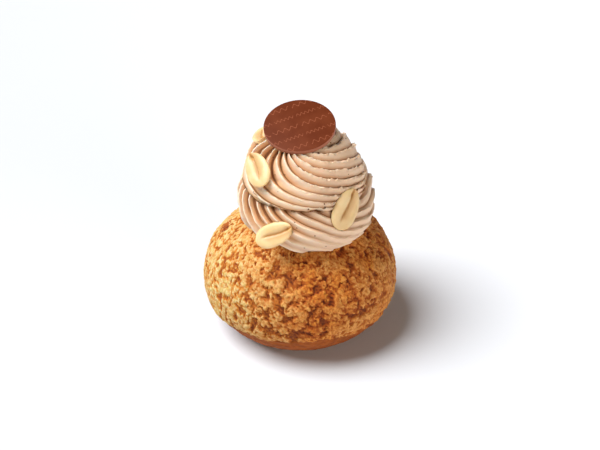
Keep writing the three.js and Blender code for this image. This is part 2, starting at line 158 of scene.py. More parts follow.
def bun_surface():
    """The bun's skin with its relief, how far each point is up a crumb, and how far it lies in the crust."""
    radius, height, rise, out, up = (column[:, None] for column in bun_profile())
    theta = (np.arange(BUN_COLUMNS) / BUN_COLUMNS * TURN)[None, :]
    plan = 1 + bun_squash * (np.cos(2 * theta) - 1) / 2
    direction = np.stack(np.broadcast_arrays(np.sin(theta), -np.cos(theta), 0 * theta), -1)
    smooth = direction * (radius * plan)[..., None] + np.array([0, 0, 1]) * height[..., None]
    normal = direction * out[..., None] + np.array([0, 0, 1]) * up[..., None]

    rim = RIM_HEIGHT + RIM_WAVE * (0.6 * np.sin(3 * theta + 1) + 0.4 * np.sin(7 * theta))
    ring = 36  # radius of a circle that the noise is read along
    rim = rim + RIM_WAVE * noise_at(direction * ring, 5.0, 3)
    crust = smoothstep(height, rim - RIM_FADE, rim + RIM_FADE)
    closed = smoothstep(np.abs(np.sin(theta + 0.1)), 0.35, 0.9)  # the sides have cracked less than the front
    bent = np.stack([noise_at(smooth + 31 * axis, BEND_SIZE, 2, 0.6) for axis in (1, 2, 3)], -1)
    drawn = (smooth + BEND * bent) / np.array([1, 1, 1.15])  # crumbs are a little taller than wide
    on_left = smoothstep(-np.sin(theta), 0.2, 0.8)
    gash = noise_at(smooth + 40, GASH_SIZE) + 0.3 * noise_at(smooth + 60, 8)
    gash = smoothstep(gash, 0.22, 0.3) * on_left
    cover = COVER + COVER_AT_SIDES * closed + COVER_ON_LEFT * on_left - gash
    crumbs = crumbs_at(drawn, CRUMB_SIZE, CLUMP_SIZE, cover)
    grain = noise_at(smooth + 80, GRAIN_SIZE, 2)
    wrinkle = noise_at(smooth, WRINKLE_SIZE, 3)

    # the swells leave the belt and the ends as they are
    shows = smoothstep(rise, 0.25, 0.45) * (1 - smoothstep(rise, 0.7, 0.85))
    shows = shows + smoothstep(rise, -0.5, -0.3) * (1 - smoothstep(rise, -0.2, -0.1))
    swell = SWELLS * np.sin(4 * theta + 5 * rise) * np.sin(6 * theta - 4 * rise + 1) * shows
    full = 1 - LOWER_AT_SIDES * closed - LOWER_ON_LEFT * on_left
    crumb = CRUMB_HEIGHT * (crumbs - 1) * full + GRAIN * grain - GRAIN / 2
    bare = WRINKLE * wrinkle - CRUST_STEP
    relief = swell + crumb * crust + bare * (1 - crust)
    raised = np.clip(crumbs + 0.3 * grain, 0, 1)
    return smooth + normal * relief[..., None], raised, np.broadcast_to(crust, raised.shape)


bun_points, crumb_tops, crust = bun_surface()
limit = np.array([bun_high[0], bun_high[1]])
bun_points[..., :2] *= np.minimum(1, limit / np.abs(bun_points[..., :2]).max(axis=(0, 1)))
edge = bun_points[-1].copy()
edge[:, 2] = 0
under = [edge * [share, share, 0] for share in (0.985, 0.8, 0.5, 0.2)]
bare_row = [np.zeros(BUN_COLUMNS)] * len(under)
bun = closed_mesh("bun", [0, 0, crown_height(0) - CRUMB_HEIGHT], [*bun_points, *under], [0, 0, 0],
                  {"crumbs": [*crumb_tops, *bare_row], "crust": [*crust, *bare_row]})


def linear(hex_colour):
    """An sRGB hex colour as the linear RGBA that the shaders take."""
    parts = [int(hex_colour[i:i + 2], 16) / 255 for i in (0, 2, 4)]
    return [c / 12.92 if c <= 0.04045 else ((c + 0.055) / 1.055) ** 2.4 for c in parts] + [1]


def add(material, kind, links=None, **settings):
    """One node. Settings are its own options, and links gives a socket its value or its source."""
    tree = material.node_tree
    node = tree.nodes.new("ShaderNode" + kind)
    for option, value in settings.items():
        setattr(node, option, value)
    for socket, value in (links or {}).items():
        if isinstance(value, bpy.types.NodeSocket):
            tree.links.new(value, node.inputs[socket])
        else:
            node.inputs[socket].default_value = value
    return node


def math_of(material, operation, *values):
    return add(material, "Math", dict(enumerate(values)), operation=operation).outputs[0]


def blank_material(name):
    material = bpy.data.materials.new(name)
    material.use_nodes = True
    material.node_tree.nodes.clear()
    return material


def mix(material, share, low, high):
    """One of two colours, or between them, by a share."""
    low, high = (linear(c) if isinstance(c, str) else c for c in (low, high))
    return add(material, "Mix", {0: share, 6: low, 7: high}, data_type="RGBA").outputs[2]


def spread(material, value, start, end):
    """A value from start to end, brought to 0 to 1."""
    links = {0: value, 1: start, 2: end}
    return add(material, "MapRange", links, interpolation_type="SMOOTHSTEP").outputs[0]


def speckle(material, size, detail=2.0, rough=0.5):
    """Noise with features of a size in mm."""
    where = add(material, "TexCoord").outputs["Object"]
    links = {"Vector": where, "Scale": 1 / (size * MM), "Detail": detail, "Roughness": rough}
    return add(material, "TexNoise", links).outputs[0]


def finish_material(material, colour, height, bump_mm, settings):
    """The shader itself, over a colour and a height map of the finest relief."""
    bump = add(material, "Bump", {"Height": height, "Distance": bump_mm * MM, "Strength": 1.0})
    links = {"Base Color": colour, "Normal": bump.outputs[0], **settings}
    shader = add(material, "BsdfPrincipled", links)
    add(material, "OutputMaterial", {"Surface": shader.outputs[0]})


# Biscuit crust baked over choux: dry, crumbly and quite matt. The raised crumbs stay pale, the choux in the
# cracks browns to orange, and the bare underside is smoother and browner still. The deepest cracks go
# darker still, and the right side, away from the light, browner, both partly as painted shade.
baked = blank_material("biscuit crust over choux pastry")
crumbs_here = add(baked, "Attribute", attribute_name="crumbs").outputs["Fac"]
crust_here = add(baked, "Attribute", attribute_name="crust").outputs["Fac"]
across_bun = add(baked, "SeparateXYZ", {0: add(baked, "TexCoord").outputs["Object"]}).outputs[0]
browner_right_bake_and_shade = spread(baked, across_bun, -30 * MM, 4 * MM)  # browner towards the right, away from the light: partly how it baked, partly painted shade
patches = spread(baked, speckle(baked, 12, 2.0), 0.35, 0.65)
bake_and_shade = math_of(baked, "MULTIPLY_ADD", browner_right_bake_and_shade, 0.75, math_of(baked, "MULTIPLY", patches, 0.25))
fleck = spread(baked, speckle(baked, 1.4, 3.0), 0.35, 0.65)
crumb_top = mix(baked, bake_and_shade, mix(baked, fleck, "cfb066", "e0ca90"), mix(baked, fleck, "c26a1c", "de9238"))
hollow = mix(baked, bake_and_shade, "c97d28", "9f480c")
# the darkest colour, in the deepest cracks, is partly browner choux and partly painted shade
deep = mix(baked, bake_and_shade, "93410a", "541f02")
broken = math_of(baked, "MULTIPLY_ADD", speckle(baked, 0.9, 3.0, 0.6), 0.3, -0.15)
raised = math_of(baked, "ADD", crumbs_here, broken)
crumbed = mix(baked, spread(baked, raised, 0.35, 0.8), hollow, crumb_top)
crumbed = mix(baked, spread(baked, raised, -0.03, 0.36), deep, crumbed)
grit = spread(baked, speckle(baked, 0.42, 2.0, 0.6), 0.58, 0.68)
crumbed = mix(baked, grit, crumbed, mix(baked, 0.5, crumbed, "75431c"))
from_scorch = add(baked, "VectorMath", {0: add(baked, "TexCoord").outputs["Object"], 1: SCORCH * MM},
                  operation="DISTANCE").outputs["Value"]
frayed = math_of(baked, "MULTIPLY", speckle(baked, 1.3, 4.0, 0.65), SCORCH_RAGGED * MM)
scorched = math_of(baked, "ADD", from_scorch, frayed)
burnt = mix(baked, spread(baked, raised, 0.1, 0.7), "662404", "a8561a")
crumbed = mix(baked, spread(baked, scorched, SCORCH_EDGE[1] * MM, SCORCH_EDGE[0] * MM), crumbed, burnt)
bare_choux = mix(baked, spread(baked, speckle(baked, 2.2, 4.0), 0.35, 0.68), "a35417", "87420f")
finish_material(baked, mix(baked, crust_here, bare_choux, crumbed), speckle(baked, 0.7, 4.0, 0.65), 0.2,
                {"Roughness": 0.78, "Specular IOR Level": 0.3, "Subsurface Weight": 0.2,
                 "Subsurface Radius": (1.0, 0.4, 0.15), "Subsurface Scale": 0.8 * MM})
bun.data.materials.append(baked)
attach(bun, "root")
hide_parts("puff")


# ---- the disc ------------------------------------------------------------------------------------
# Tempered chocolate, spread thin on a printed transfer sheet and cut round. It leans forward on the swirl,
# and a little to the left. The print is rows of fine waves in a lighter brown.

DISC_RADIUS, DISC_THICKNESS = 12.74, 1.5
DISC_CENTRE = np.array([-0.1, 0, 82])
DISC_TILT, DISC_ROLL = 14, -3.5  # degrees forward, and to the side
DISC_SOFT = 0.22  # how far its edges are rounded
disc_turn = Euler((math.radians(DISC_TILT), math.radians(DISC_ROLL), 0)).to_matrix().to_4x4()
disc_axis = np.array(disc_turn.col[2][:3])

bpy.ops.object.select_all(action="DESELECT")
bpy.ops.mesh.primitive_cylinder_add(vertices=144, radius=DISC_RADIUS * MM, depth=DISC_THICKNESS * MM)
disc = bpy.context.active_object
disc.name = disc.data.name = "chocolate_round"
soften = disc.modifiers.new("soften", "BEVEL")
soften.width = DISC_SOFT * MM
soften.segments = 3
soften.limit_method = "ANGLE"
bpy.ops.object.modifier_apply(modifier=soften.name)
bpy.ops.object.shade_smooth_by_angle(angle=math.radians(30))
disc.data.transform(Matrix.Translation(Vector(DISC_CENTRE * MM)) @ disc_turn)


# Tempered chocolate set against a sheet: satin and red-brown, with a painted highlight lighter round the
# rim, and the print level with its face. Every second row of the print has shorter, lower waves.
ROW, LEAN = 4.7, -22  # spacing of the printed rows, and how many degrees they are turned
LINE, LINE_FADE = 0.15, 0.06  # half a line's width, and how soft its edges are
GAP_EDGE = (0.45, 0.55)  # where a printed line stops and is full again, from the middle of a gap in it
RIM_HIGHLIGHT_FROM, RIM_HIGHLIGHT_FULL = 0.12, 0.04  # how far inside the rim the painted highlight starts, and is at its lightest
chocolate = blank_material("tempered chocolate with a transfer print")
where = add(chocolate, "TexCoord").outputs["Object"]
placed = add(chocolate, "Mapping", {"Vector": where, "Location": DISC_CENTRE * -MM}).outputs[0]
turned = add(chocolate, "Mapping", {"Vector": placed, "Rotation": (0, 0, math.radians(LEAN))}).outputs[0]
axes = add(chocolate, "SeparateXYZ", {0: turned})
along = math_of(chocolate, "MULTIPLY", axes.outputs[0], 1 / MM)
across = math_of(chocolate, "MULTIPLY", axes.outputs[1], 1 / MM)


def printed_rows(start, wave, swing, gap_every):
    """Every second row, as a line of waves of a length and swing, with a gap every so many mm."""
    bend = math_of(chocolate, "SINE", math_of(chocolate, "MULTIPLY", along, TURN / wave))
    level = math_of(chocolate, "MULTIPLY_ADD", bend, swing, math_of(chocolate, "ADD", across, start))
    from_line = math_of(chocolate, "PINGPONG", level, ROW)
    line = spread(chocolate, from_line, LINE + LINE_FADE, LINE - LINE_FADE)
    gap = spread(chocolate, math_of(chocolate, "PINGPONG", along, gap_every / 2), *GAP_EDGE)
    return math_of(chocolate, "MULTIPLY", line, gap)


printed = math_of(chocolate, "MAXIMUM", printed_rows(0, 2.4, 0.7, 10.5), printed_rows(ROW, 1.5, 0.5, 8.2))
ground = mix(chocolate, spread(chocolate, speckle(chocolate, 8, 2.0), 0.3, 0.7), "652b12", "71351b")
from_axis = add(chocolate, "VectorMath", {0: placed}, operation="LENGTH").outputs["Value"]
# painted highlight: lighter round the rim
painted_rim_highlight = spread(chocolate, from_axis, (DISC_RADIUS - RIM_HIGHLIGHT_FROM) * MM, (DISC_RADIUS - RIM_HIGHLIGHT_FULL) * MM)
face = mix(chocolate, printed, ground, "97553a")
finish_material(chocolate, mix(chocolate, painted_rim_highlight, face, "a3664e"), speckle(chocolate, 1.5, 2.0), 0.01,
                {"Roughness": 0.5, "Specular IOR Level": 0.12})
disc.data.materials.append(chocolate)
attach(disc, "root")
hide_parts("chocolate_disc")


# ---- the peanut halves ---------------------------------------------------------------------------
# Blanched peanuts split in two, pressed into the cream with the cut face out. The face has two soft lobes
# beside the seam, with a small hollow near the tip where the germ was. The back is round.

# The way each cut face looks (degrees round from the front, degrees up), how far its tip is turned from
# straight up the slope, then its length, width and thickness.
HALVES = {
    "peanut_half_1": ((32, 20), 38, (15.4, 9.8, 4.2)),
    "peanut_half_2": ((-42, 38), -55, (13.4, 9, 4.2)),
    "peanut_half_3": ((-25, 30), 55, (14.3, 8.2, 4.6)),
    "peanut_half_4": ((-110, 56), 60, (12.8, 7.8, 3.9)),
}
STATIONS, FACE_POINTS, BACK_POINTS = 56, 41, 28
END_ROOM = 0.06  # room for the point that closes each end, in radians of the sweep
FULLNESS, BACK_FULLNESS = 2.3, 0.9  # blunter ends than an ellipse's, and how the back thins towards them
TAPER = 0.1  # how much narrower the tip end is
FACE_CROWN, LOBE, RIM_ROUND = 0.45, 0.12, 0.3  # how far the face bulges, its two lobes and its round rim
SEAM_DEPTH, SEAM_WIDTH, SEAM_BEND = 0.35, 0.6, 0.45
PIT_DEPTH, PIT_AT, PIT_LENGTH = 0.9, 0.74, 0.13  # the germ's place, from -1 at the blunt end to 1 at the tip
HOLLOW_DEPTH, HOLLOW_WIDTH = 0.6, 2.0  # the broad dip that the seam runs in


def peanut_loops(length, width, thickness):
    """Loops round a half, from the tip to the blunt end, and how much painted shade each point takes, in the
    seam and the hollow beside it.
    """
    loops, seam_shade_marks = [], []
    for t in np.cos(np.linspace(END_ROOM, math.pi - END_ROOM, STATIONS)):
        full = (1 - abs(t) ** FULLNESS) ** 0.5
        half_width = width / 2 * full * (1 - TAPER * t)
        depth = (thickness - FACE_CROWN) * full ** BACK_FULLNESS
        a = np.sin(np.linspace(-math.pi / 2, math.pi / 2, FACE_POINTS))
        beside = a * half_width - SEAM_BEND * math.sin(2.8 * t + 0.4)
        pit = PIT_DEPTH * math.exp(-((t - PIT_AT) / PIT_LENGTH) ** 2)
        deep = (SEAM_DEPTH * smoothstep(t, -0.8, -0.3) + pit) * full
        steep = np.where(beside > 0, 0.6, 1.5)  # one wall of the seam is steeper
        mark = np.exp(-(beside / (SEAM_WIDTH * steep)) ** 2)
        lobes = FACE_CROWN * (1 - a * a) * full + LOBE * full * np.sin(np.pi * np.abs(a))
        dip = np.exp(-((beside - 0.5) / HOLLOW_WIDTH) ** 2)
        hollow = HOLLOW_DEPTH * full * smoothstep(t, -0.9, 0) * dip
        face_z = lobes - deep * mark - hollow - RIM_ROUND * np.abs(a) ** 10
        face = np.column_stack([a * half_width, np.full(FACE_POINTS, t * length / 2), face_z])
        swing = np.linspace(0, math.pi, BACK_POINTS + 2)[1:-1]
        back_z = -np.sin(swing) * depth - RIM_ROUND * np.abs(np.cos(swing)) ** 10
        back = np.column_stack([np.cos(swing) * half_width, np.full(BACK_POINTS, t * length / 2), back_z])
        loops.append(np.vstack([face, back]))
        # painted shade: tan in the seam and across the hollow beside it
        painted_seam_shade = np.maximum(mark, 0.6 * np.exp(-((beside - 0.7) / HOLLOW_WIDTH) ** 2))
        seam_shade_marks.append(np.concatenate([painted_seam_shade * smoothstep(t, -0.9, -0.3), np.zeros(BACK_POINTS)]))
    return loops, seam_shade_marks


# Blanched peanut: waxy, pale cream yellow and a little see-through, with painted shade making it tan down in
# the seam and across the hollow beside it.
nut = blank_material("blanched peanut")
seam_shade_here = add(nut, "Attribute", attribute_name="seam").outputs["Fac"]
nut_body = mix(nut, spread(nut, speckle(nut, 5, 2.0), 0.3, 0.7), "e6c48c", "eed3a0")
nut_colour = mix(nut, spread(nut, seam_shade_here, 0.15, 1.0), nut_body, "c08a48")
finish_material(nut, nut_colour, speckle(nut, 0.7, 2.0), 0.04,
                {"Roughness": 0.4, "Specular IOR Level": 0.45, "Subsurface Weight": 0.3,
                 "Subsurface Radius": (1.0, 0.6, 0.25), "Subsurface Scale": 1.2 * MM})

peanuts, nodes = [], {}
for node, ((round_from_front, up), turned, size) in HALVES.items():
    loops, seam_shade_marks = peanut_loops(*size)
    half = size[0] / 2
    peanut = closed_mesh(node.replace("peanut_half", "peanut"), [0, half, 0], loops, [0, -half, 0],
                         {"seam": seam_shade_marks})
    a, b = math.radians(round_from_front), math.radians(up)
    normal = Vector((math.sin(a) * math.cos(b), -math.cos(a) * math.cos(b), math.sin(b)))
    upslope = Vector((-math.sin(a) * math.sin(b), math.cos(a) * math.sin(b), math.cos(b)))
    stand = Matrix((upslope.cross(normal), upslope, normal)).transposed().to_4x4()
    peanut.data.transform(stand @ Matrix.Rotation(-math.radians(turned), 4, "Z"))
    corners = np.array([v.co for v in peanut.data.vertices])
    low, high = (np.array(corner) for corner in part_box(node))
    to_place = (low + high) / 2 - (corners.min(0) + corners.max(0)) / 2
    peanut.data.transform(Matrix.Translation(Vector(to_place)))
    peanut.data.materials.append(nut)
    peanuts.append(peanut)
    nodes[peanut] = node
    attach(peanut, "root")
    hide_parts(node)


# ---- the cream -----------------------------------------------------------------------------------
# Whipped peanut cream, piped on the crown in one rope that goes round twice through a star tip. The tip
# leaves sharp ridges that lie over each other like shingles, torn where the cream pulled at them.

CREAM_GAP = 0.05  # it rests on the highest crumbs
RAY_HEIGHT = 50  # the point on the axis that the swirl's outline is measured from
AXIS_FOOT, AXIS_TOP = np.array([2.4, -0.8, 52]), np.array([0.1, 0, 82])  # it leans from one to the other
GROOVE_DEPTH, LEFT_SHARE = 1.9, 0.4  # the grooves, and by how much they are deeper to the left
FOOT_SHARE = 0.6  # how much shallower they are low on the front and right
DISC_SHARE = 0.25  # and on the right, close to the disc
CREST_AT = 0.82  # place of the crest across a ridge
UPPER_TEAR, LOWER_TEAR = 1.1, 0.6  # how far the crests are torn in and out
TEAR_SIZE, TEAR_WIDTH = 1.3, 0.12  # how long a tear is, and the share of a ridge it takes beside the crest
# how far the crests are pulled up or down, in radians, over what length, and for what share of a ridge
PULL, PULL_SIZE, PULL_WIDTH = 0.035, 1.7, 0.18
TEAR_FULL = 17  # distance from the axis where the ridges are wide enough to tear in full
UNEVEN, UNEVEN_SIZE = 0.3, 4.5  # how much the cream swells and sinks along its way, and over what distance
LIP_TUCK = 3.5  # how far the upper turn's lower edge curls in under itself
LIP_FLARE = 0.7  # how far that edge stands out at the front and left
LIP_FLATTEN, RIBBON_FLATTEN = 0.55, 0.95  # how much shallower the grooves are there, and along the ribbon
LIP_RAGGED, LIP_RAGGED_SIZE = 0.05, 2.2  # how far the edge wanders, in radians, and over how many mm
LIP_STEP, LIP_FADE = 0.6, 0.1  # how far the lower turn is sunk under it, and the angle it comes out over
LOWER_ROWS, UPPER_ROWS = 130, 280  # loops down each turn
LOWER_SPAN = (0.3, 3.0)  # the first and last of the lower turn, in radians from the top of its ellipse
UPPER_FROM = 5  # and the first of the upper turn, in degrees from straight up
UPPER_HIDDEN = 0.13  # how far the upper turn goes on past the crease, in radians
ROUND_STEPS = 1441  # fine steps round the axis, for finding places by
# the points across a ridge, closer together at its crest
ACROSS = np.array([0, 0.05, 0.12, 0.2, 0.29, 0.38, 0.47, 0.56, 0.65, 0.73, 0.78, 0.805,
                   CREST_AT, 0.835, 0.87, 0.93])

# Ellipses beside the axis: offset, height, half width, half height, and what the lower turn gains as it
# climbs. Then the grooves passed on the way down, as a cubic in the angle from the top of the ellipse, and
# how far the ridges crowd to the left, as front, right and what each loses on the way down. These two were
# fitted to the course of the real ridges.
LOWER = {"section": (13.8, 51.2, 11.4, 11.2), "climb": (-0.7, 3.7, 0.3, 3.4), "ridges": 20,
         "twist": [0.524, -1.953, 0.686, 4.945], "crowding": (1.033, 0.308, 0.497, 0.315)}
UPPER = {"section": (5.6, 61, 16.3, 19.2), "climb": (0, 0, 0, 0), "ridges": 15,
         "twist": [-2.112, 4.645, -5.517, 8.392], "crowding": (0.475, 0.269, 0.58, 0.509)}
NOZZLE_LIFT = (-3.7, -7.4)  # where the tip was lifted off, from the axis
LIFT_FELT = (4, 12)  # distances from the axis over which the ridges come to spread from there

# The climb starts this many degrees round. Then it rises quickly, falls slowly round the back and drops.
CLIMB_FROM, CLIMB_RISE, CLIMB_FALL, CLIMB_DROP = 50, (12, 44), (80, 250), (315, 345)
FALL_SHARE, DROP_SHARE = 0.55, 0.45


def climb_at(theta):
    """The share of its climb that the lower turn has reached."""
    past = (np.degrees(theta) - CLIMB_FROM) % 360
    risen = smoothstep(past, *CLIMB_RISE)
    return risen - FALL_SHARE * smoothstep(past, *CLIMB_FALL) - DROP_SHARE * smoothstep(past, *CLIMB_DROP)


def section_at(turn, theta):
    """Offset, height, half width and half height of a turn's ellipse."""
    return [own + climb_at(theta) * gain for own, gain in zip(turn["section"], turn["climb"])]


def meet(turn, theta, psi):
    """Where a ray at psi from straight up meets the far side of a turn: its length, and the angle down from
    the top of the section."""
    offset, height, half_width, half_height = section_at(turn, theta)
    dr, dz = np.sin(psi) / half_width, np.cos(psi) / half_height
    r0, z0 = -offset / half_width, (RAY_HEIGHT - height) / half_height
    a, b, c = dr * dr + dz * dz, 2 * (r0 * dr + z0 * dz), r0 * r0 + z0 * z0 - 1
    root = b * b - 4 * a * c
    distance = np.where(root > 0, (np.sqrt(np.maximum(root, 0)) - b) / (2 * a), 0)
    return distance, math.pi / 2 - np.arctan2(z0 + distance * dz, r0 + distance * dr)


def phase_at(turn, theta, down, out):
    """How many grooves lie between here and the first: the ridges run where this is constant. In the upper
    turn they spread from where the tip was lifted off."""
    front, right, front_loss, right_loss = turn["crowding"]
    to_front = (front - front_loss * down) * np.cos(theta)
    to_right = (right - right_loss * down) * np.sin(theta)
    spread_out = theta + to_front + to_right
    if turn is UPPER:
        pull = np.sqrt(np.maximum(np.cos(down), 0)) * smoothstep(out, *LIFT_FELT)
        x = out * np.sin(theta) - NOZZLE_LIFT[0] * pull
        y = -out * np.cos(theta) - NOZZLE_LIFT[1] * pull
        spread_out = spread_out + (np.arctan2(x, -y) - theta + math.pi) % TURN - math.pi
    return np.maximum.accumulate(turn["ridges"] / TURN * spread_out + np.polyval(turn["twist"], down))


def swirl_point(theta, psi, distance):
    """The point at a distance along a ray at psi from straight up, moved as the axis leans."""
    z = RAY_HEIGHT + distance * np.cos(psi)
    leant = np.clip((z - AXIS_FOOT[2]) / (AXIS_TOP[2] - AXIS_FOOT[2]), 0, 1)
    out = distance * np.sin(psi)
    x = AXIS_FOOT[0] + (AXIS_TOP[0] - AXIS_FOOT[0]) * leant + out * np.sin(theta)
    y = AXIS_FOOT[1] + (AXIS_TOP[1] - AXIS_FOOT[1]) * leant - out * np.cos(theta)
    return np.stack([x, y, z], -1)


def bisect(is_before, low, high):
    """Where a test changes from true to false between low and high."""
    halvings = 40
    for _ in range(halvings):
        middle = (low + high) / 2
        before = is_before(middle)
        low, high = np.where(before, middle, low), np.where(before, high, middle)
    return (low + high) / 2


theta_grid = np.linspace(-math.pi, math.pi, ROUND_STEPS)
crease = bisect(lambda psi: meet(UPPER, theta_grid, psi)[0] > meet(LOWER, theta_grid, psi)[0],
                np.full(ROUND_STEPS, math.radians(40)), np.full(ROUND_STEPS, math.radians(85)))


def past_crease(theta, psi):
    """How far down past the crease between the two turns, in radians."""
    return psi - np.interp(theta, theta_grid, crease)


def ridge_height(x, theta):
    """0 in the groove and 1 on the crest, with a short steep back behind it: thin crests with wide grooves
    on the left, round ridges on the right."""
    aside = np.where(x < CREST_AT, 1 - x / CREST_AT, (x - CREST_AT) / (1 - CREST_AT))
    side = np.sin(theta)
    return 1 - aside ** (0.9 + 0.25 * side + 0.5 * smoothstep(side, 0.6, 1))


def groove_depth(turn, theta, psi):
    """Deeper on the left; shallower at the foot, by the disc and at the upper turn's edge, and almost none
    along the smooth ribbon that this edge is at the front and left."""
    depth = GROOVE_DEPTH * (1 - LEFT_SHARE * np.sin(theta))
    if turn is LOWER:
        low = smoothstep(psi, math.radians(72), math.radians(100))
        return depth * (1 - FOOT_SHARE * (low * smoothstep(np.sin(theta + 0.5), -0.1, 0.5)))
    high = 1 - smoothstep(psi, math.radians(35), math.radians(60))
    depth = depth * (1 - DISC_SHARE * (smoothstep(np.sin(theta), 0.1, 0.6) * high))
    past = past_crease(theta, psi)
    ribbon = smoothstep(past, -0.36, -0.24) * smoothstep(np.cos(theta + 0.6), 0.35, 0.7)
    return depth * (1 - np.maximum(LIP_FLATTEN * smoothstep(past, -0.3, 0), RIBBON_FLATTEN * ribbon))


def along_ridges(turn, phase):
    """The angles round the axis of the points of one loop, at even shares across every ridge."""
    wanted = (np.arange(turn["ridges"])[:, None] + ACROSS[None, :]).ravel()
    return np.interp(phase[0] + (wanted - phase[0]) % turn["ridges"], phase, theta_grid)


def ridged(turn, theta, psi, distance, tuck, tear):
    """The points of a turn, sunk by its grooves, torn crests and tucked-in edge, and how pale each is
    painted: pale on the crests, and brown as painted shade in the grooves and on the backs.
    """
    x = np.tile(ACROSS, turn["ridges"])[None, :]
    height = ridge_height(x, theta)
    smooth = swirl_point(theta, psi, distance)
    rough_side = 0.25 + 0.75 * smoothstep(np.sin(theta - 0.35), -0.7, 0.3)
    rough_side = rough_side * np.minimum(1, distance * np.sin(psi) / TEAR_FULL)
    torn = noise_at(smooth, TEAR_SIZE, 2, 0.7) * rough_side + 0.2 * noise_at(smooth, 2 * TEAR_SIZE)
    at_crest = np.clip(1 - np.abs(x - CREST_AT) / TEAR_WIDTH, 0, 1)
    near_crest = np.clip(1 - np.abs(x - CREST_AT) / PULL_WIDTH, 0, 1)
    grooved = groove_depth(turn, theta, psi) * (1 - height)
    sink = grooved + tear * torn * at_crest + UNEVEN * noise_at(smooth, UNEVEN_SIZE) + tuck
    shaded = 1 + 2 * smoothstep(-np.sin(theta), 0, 0.7) * (x > CREST_AT)  # painted shade: the backs stay brown on the left, turned from the light
    pale = height ** shaded
    pulled = psi + PULL * tear * rough_side * noise_at(smooth, PULL_SIZE, 2) * near_crest
    return swirl_point(theta, pulled, distance - sink), pale


def upper_turn():
    """Loops down the upper turn, from beside its tip to where it is hidden behind the lower one."""
    rows = np.linspace(math.radians(UPPER_FROM), crease.max() + UPPER_HIDDEN, UPPER_ROWS)
    theta, psi, distance = [], [], []
    for row in rows:
        reach, down = meet(UPPER, 0, row)
        theta.append(along_ridges(UPPER, phase_at(UPPER, theta_grid, down, reach * math.sin(row))))
        psi.append(np.full_like(theta[-1], row))
        distance.append(np.full_like(theta[-1], reach))
    theta, psi, distance = np.array(theta), np.array(psi), np.array(distance)
    ragged = LIP_RAGGED * noise_at(swirl_point(theta, psi, distance), LIP_RAGGED_SIZE, 4, 0.7)
    past = past_crease(theta, psi)
    flare = LIP_FLARE * smoothstep(past, -0.25, 0) * smoothstep(np.cos(theta + 0.6), 0.2, 0.8)
    tucked = smoothstep(past + ragged, -0.005, 0.035)
    points, pale = ridged(UPPER, theta, psi, distance, LIP_TUCK * tucked - flare, UPPER_TEAR)
    # painted shade: the lip turns brown at its edge, where it tucks under
    return points, pale * (1 - 0.9 * smoothstep(past + ragged, -0.018, 0.004))


def lower_turn():
    """Loops down the lower turn, from inside the upper one to under its foot, kept clear of the bun."""
    theta, psi, distance = [], [], []
    for down in np.linspace(*LOWER_SPAN, LOWER_ROWS):
        around = along_ridges(LOWER, phase_at(LOWER, theta_grid, down, 0))
        offset, height, half_width, half_height = section_at(LOWER, around)
        out = offset + half_width * math.sin(down)
        up = height + half_height * math.cos(down) - RAY_HEIGHT
        theta.append(around)
        psi.append(np.arctan2(out, up))
        distance.append(np.hypot(out, up))
    theta, psi, distance = np.array(theta), np.array(psi), np.array(distance)
    tuck = LIP_STEP * (1 - smoothstep(past_crease(theta, psi), 0, LIP_FADE))
    points, pale = ridged(LOWER, theta, psi, distance, tuck, LOWER_TEAR)
    # painted shade: less of it on the lower turn low down, and more just under the upper turn's lip
    low = smoothstep(psi, math.radians(75), math.radians(105))
    pale = (1 - (1 - pale) * (1 - 0.55 * low)) * smoothstep(past_crease(theta, psi), -0.03, 0.03)
    rests_on = crown_height(np.hypot(points[..., 0], points[..., 1])) + CREAM_GAP
    points[..., 2] = np.maximum(points[..., 2], rests_on)
    return points, pale


def under_disc(points):
    """The disc presses flat what would stand through it."""
    clear_under, clear_round = 0.02, 0.1
    from_disc = points - DISC_CENTRE
    above = from_disc @ disc_axis
    aside = np.linalg.norm(from_disc - above[..., None] * disc_axis, axis=-1)
    push = np.minimum(0, -DISC_THICKNESS / 2 - clear_under - above) * (aside < DISC_RADIUS + clear_round)
    return points + push[..., None] * disc_axis


def under_peanuts(points):
    """The peanuts press in what lies where they are, to just behind their backs, towards the foot of the
    axis. A ray finds the back: it starts further out and steps on past each wall that it meets."""
    margin, outside, reach, step, clear = 1.5, 2, 8, 0.01, 0.1
    flat = points.reshape(-1, 3).copy()
    for peanut in peanuts:
        tree = bvhtree.BVHTree.FromPolygons([v.co / MM for v in peanut.data.vertices],
                                            [f.vertices for f in peanut.data.polygons])
        low, high = (np.array(corner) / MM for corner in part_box(nodes[peanut]))
        for i in np.flatnonzero(((flat > low - margin) & (flat < high + margin)).all(axis=1)):
            inward = Vector(AXIS_FOOT - flat[i]).normalized()
            hit, spot = None, Vector(flat[i]) - inward * outside
            while True:
                found = tree.ray_cast(spot, inward, reach)[0]
                if found is None:
                    break
                hit, spot = found, found + inward * step
            if hit is not None and (Vector(flat[i]) - hit).dot(inward) < clear:
                flat[i] = hit + inward * clear
    return flat.reshape(points.shape)


